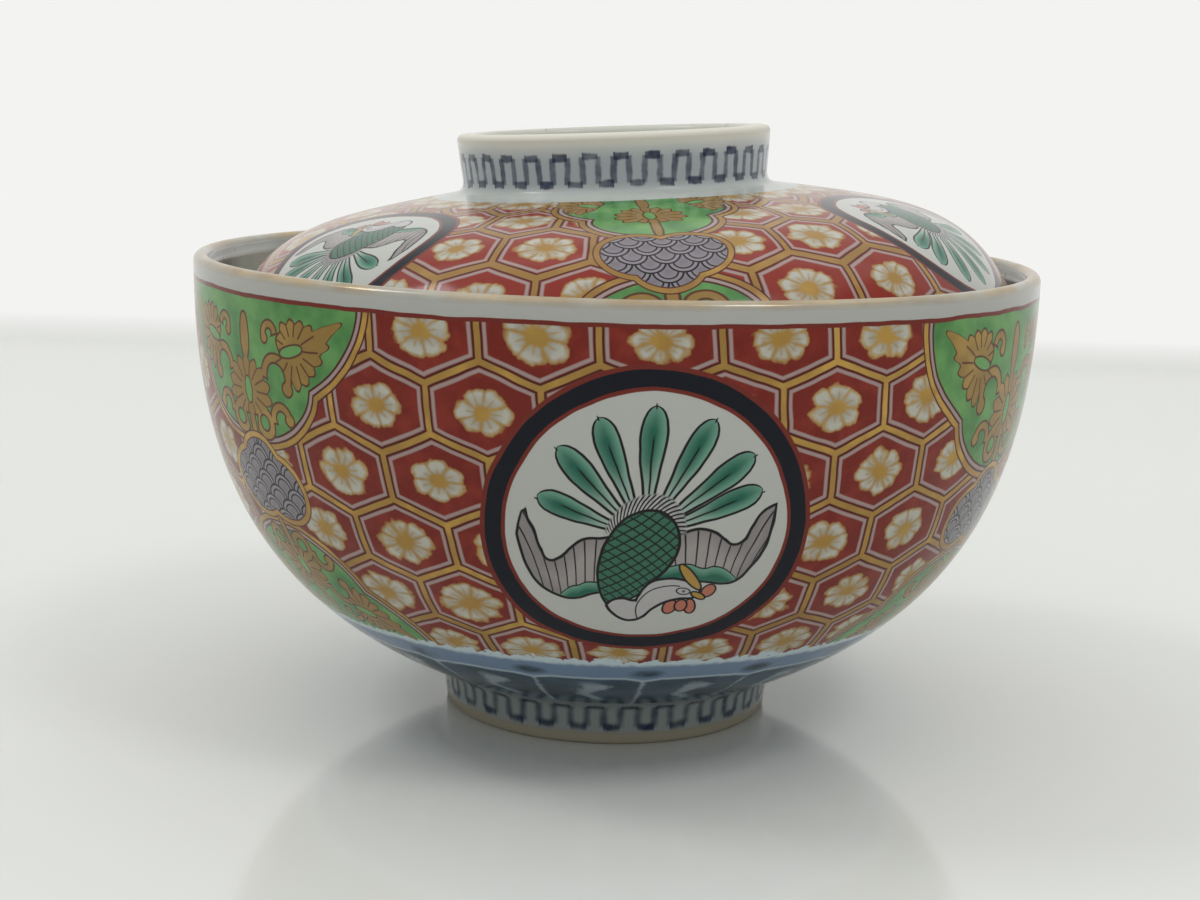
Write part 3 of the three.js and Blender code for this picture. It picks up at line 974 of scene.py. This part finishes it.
def gilding_glints_and_wear(coat, place, plan):
    """Gold that is painted brighter in places as glints of light, and rubbed thin in others."""
    wear = (place.noise(240.0, 3.0) + place.noise(30.0, 1.0)) * 0.5
    # Painted glints: brighter gold in patches where the noise is low.
    coat.lay(coat.gilt * wear.under(plan["unworn"] - 0.09, 0.1) * 0.55, GLINT_GOLD, gilt=1.0)
    coat.lay(coat.gilt * wear.over(plan["unworn"], 0.2) * 0.75, WORN_GOLD, gilt=0.3)


def painted_pot(place, plan, ending):
    """All the paint of one pot, from its red ground to its worn gold."""
    turn = place.angle - math.radians(plan["front"])
    drawn = turn + turn.sin() * plan["drawn_in"]
    stretch = turn.cos() * plan["drawn_in"] + 1
    sixth = math.pi / 3
    from_roundel = (drawn - math.radians(plan["first_roundel"])).folded(sixth) / stretch
    aside = sixth / stretch - abs(from_roundel)
    up = plan["panel_way"] - place.way + turn.sin() * plan["panel_slope"]
    coat = Coat(plan["ground"])
    tortoiseshell(coat, place, plan)
    by_panel = Spot(aside * place.girth, up)
    panel(coat, by_panel, plan, place)
    scroll_way = abs(up) * (plan["scroll_height"] - turn.sin() * plan["scroll_slope"])
    by_scroll = Spot(aside * plan["scroll_girth"], scroll_way)
    gold_scrolls(coat, by_scroll, up.under(0) * (1 - plan["curls_below"]))
    size = plan["cartouche_size"]
    cartouche(coat, Spot(by_panel.x / size, up / size))
    size = plan["roundel_size"]
    in_roundel = Spot(from_roundel * place.girth * (plan["bird_faces"] / size),
                      (plan["roundel_way"] - place.way) / size)
    roundel(coat, in_roundel)
    phoenix(coat, in_roundel)
    ending(coat, place, plan)
    rim_line(coat, place)
    unpainted = place.way.under(INSIDE_FROM, 1.0).most(place.way.over(plan["bare_to"], 1.0))
    plain_glaze(coat, place, unpainted)
    gilding_glints_and_wear(coat, place, plan)
    return coat


def painted_porcelain(name, plan, ending):
    """Painted porcelain under a clear glaze."""
    material = bpy.data.materials.new(name)
    material.use_nodes = True
    tree = material.node_tree
    shader = tree.nodes["Principled BSDF"]
    place = Place(tree)
    coat = painted_pot(place, plan, ending)
    bare = place.way.between(plan["bare_from"], plan["bare_to"], 0.8)
    gloss = coat.gilt * 0.08 + place.noise(160.0) * 0.1 + 0.1
    tree.links.new(coat.color.socket, shader.inputs["Base Color"])
    tree.links.new((coat.gilt * plan["shine"]).socket, shader.inputs["Metallic"])
    tree.links.new((gloss + bare * 0.45).socket, shader.inputs["Roughness"])
    ripple = place.noise(70.0, 1.0) + place.noise(900.0, 1.0) * 0.03
    skin = ripple.node("Bump", None, {"Strength": 0.3, "Distance": GLAZE_RIPPLE, "Height": ripple})
    tree.links.new(skin.socket, shader.inputs["Normal"])
    shader.inputs["Specular IOR Level"].default_value = GLAZE_SPECULAR
    return material


def make_camera():
    data = bpy.data.cameras.new("photo_camera")
    data.sensor_width = SENSOR_WIDTH
    data.lens = FOCAL_PIXELS * SENSOR_WIDTH / FRAME_WIDTH
    data.clip_start = 0.01
    camera = bpy.data.objects.new("photo_camera", data)
    turn = Matrix.Rotation(math.radians(-CAMERA_YAW), 4, "Z")
    tip = Matrix.Rotation(math.radians(90 - CAMERA_PITCH), 4, "X")
    roll = Matrix.Rotation(math.radians(CAMERA_ROLL), 4, "Z")
    place = Matrix.Translation((0, -CAMERA_BACK * MM, CAMERA_HEIGHT * MM))
    camera.matrix_world = place @ turn @ tip @ roll
    bpy.context.scene.collection.objects.link(camera)
    bpy.context.scene.camera = camera


def make_light(name, place, size, power):
    """A soft rectangular lamp that faces the bowl's foot."""
    data = bpy.data.lights.new(name, "AREA")
    data.shape = "RECTANGLE"
    data.size, data.size_y = size
    data.energy = power
    lamp = bpy.data.objects.new(name, data)
    lamp.location = place
    lamp.rotation_mode = "QUATERNION"
    lamp.rotation_quaternion = (-Vector(place)).to_track_quat("-Z", "Y")
    bpy.context.scene.collection.objects.link(lamp)


def make_stage():
    """A pale sheet that runs back under the bowl and curves up behind it."""
    bm = bmesh.new()
    sweep = [Vector((SHEET_FRONT, 0)), *bend(Vector((SHEET_BEND, 0)), Vector((SHEET_BACK, 0)),
                                             Vector((SHEET_BACK, SHEET_BACK - SHEET_BEND)), 12),
             Vector((SHEET_BACK, SHEET_TOP))]
    verts = [bm.verts.new((-SHEET_HALF_WIDTH, p.x, p.y)) for p in sweep]
    edges = [bm.edges.new(pair) for pair in zip(verts, verts[1:])]
    across = bmesh.ops.extrude_edge_only(bm, edges=edges)["geom"]
    far_side = [item for item in across if isinstance(item, bmesh.types.BMVert)]
    bmesh.ops.translate(bm, vec=(2 * SHEET_HALF_WIDTH, 0, 0), verts=far_side)
    for face in bm.faces:
        face.smooth = True
    mesh = bpy.data.meshes.new("sheet")
    bm.to_mesh(mesh)
    bm.free()
    sheet = bpy.data.objects.new("sheet", mesh)
    sheet.data.materials.append(pale_sheet())
    bpy.context.scene.collection.objects.link(sheet)


def pale_sheet():
    material = bpy.data.materials.new("pale_sheet")
    material.use_nodes = True
    tree = material.node_tree
    shader = tree.nodes["Principled BSDF"]
    shader.inputs["Base Color"].default_value = SHEET_COLOR
    shader.inputs["Roughness"].default_value = SHEET_ROUGHNESS
    start = Field(tree)
    level = start.node("SeparateXYZ", None, {0: start.node("TexCoord", output="Object")}).other("Z")
    ray = start.node("LightPath", output="Is Camera Ray")
    seen = ray.most(ray.other("Is Glossy Ray")).most(ray.other("Is Transmission Ray"))
    seen_wall = level.over(SHEET_RISE, 1.5 * SHEET_RISE) * seen
    glow = start.node("Emission", None, {"Color": BACKDROP_WHITE})
    blend = start.node("MixShader", None, {0: seen_wall, 1: Field(tree, shader.outputs[0]), 2: glow})
    tree.links.new(blend.socket, tree.nodes["Material Output"].inputs["Surface"])
    return material


def make_world():
    """An even, dim room."""
    world = bpy.data.worlds.new("studio")
    world.use_nodes = True
    room = world.node_tree.nodes["Background"]
    room.inputs["Color"].default_value = (1, 1, 1, 1)
    room.inputs["Strength"].default_value = ROOM_LIGHT
    bpy.context.scene.world = world


bpy.context.scene.view_settings.view_transform = "Standard"
make_camera()
make_stage()
make_world()
for light in LIGHTS:
    make_light(*light)

lid_place = (Matrix.Translation((LID_SHIFT * MM, 0, LID_LEVEL * MM))
             @ Matrix.Rotation(math.radians(-LID_TILT), 4, "Y"))
bowl = turned_pot("painted_bowl", *bowl_profile(), Matrix.Identity(4), BOWL_OUTSIDE)
lid = turned_pot("painted_lid", *lid_profile(), lid_place, LID_OUTSIDE)
for pot, body, plan, ending in ((bowl, "bowl", BOWL_PLAN, bowl_foot), (lid, "lid", LID_PLAN, lid_knob)):
    pot.data.materials.append(painted_porcelain(f"{body}_paint", plan, ending))
    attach(pot, body)
    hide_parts(body)
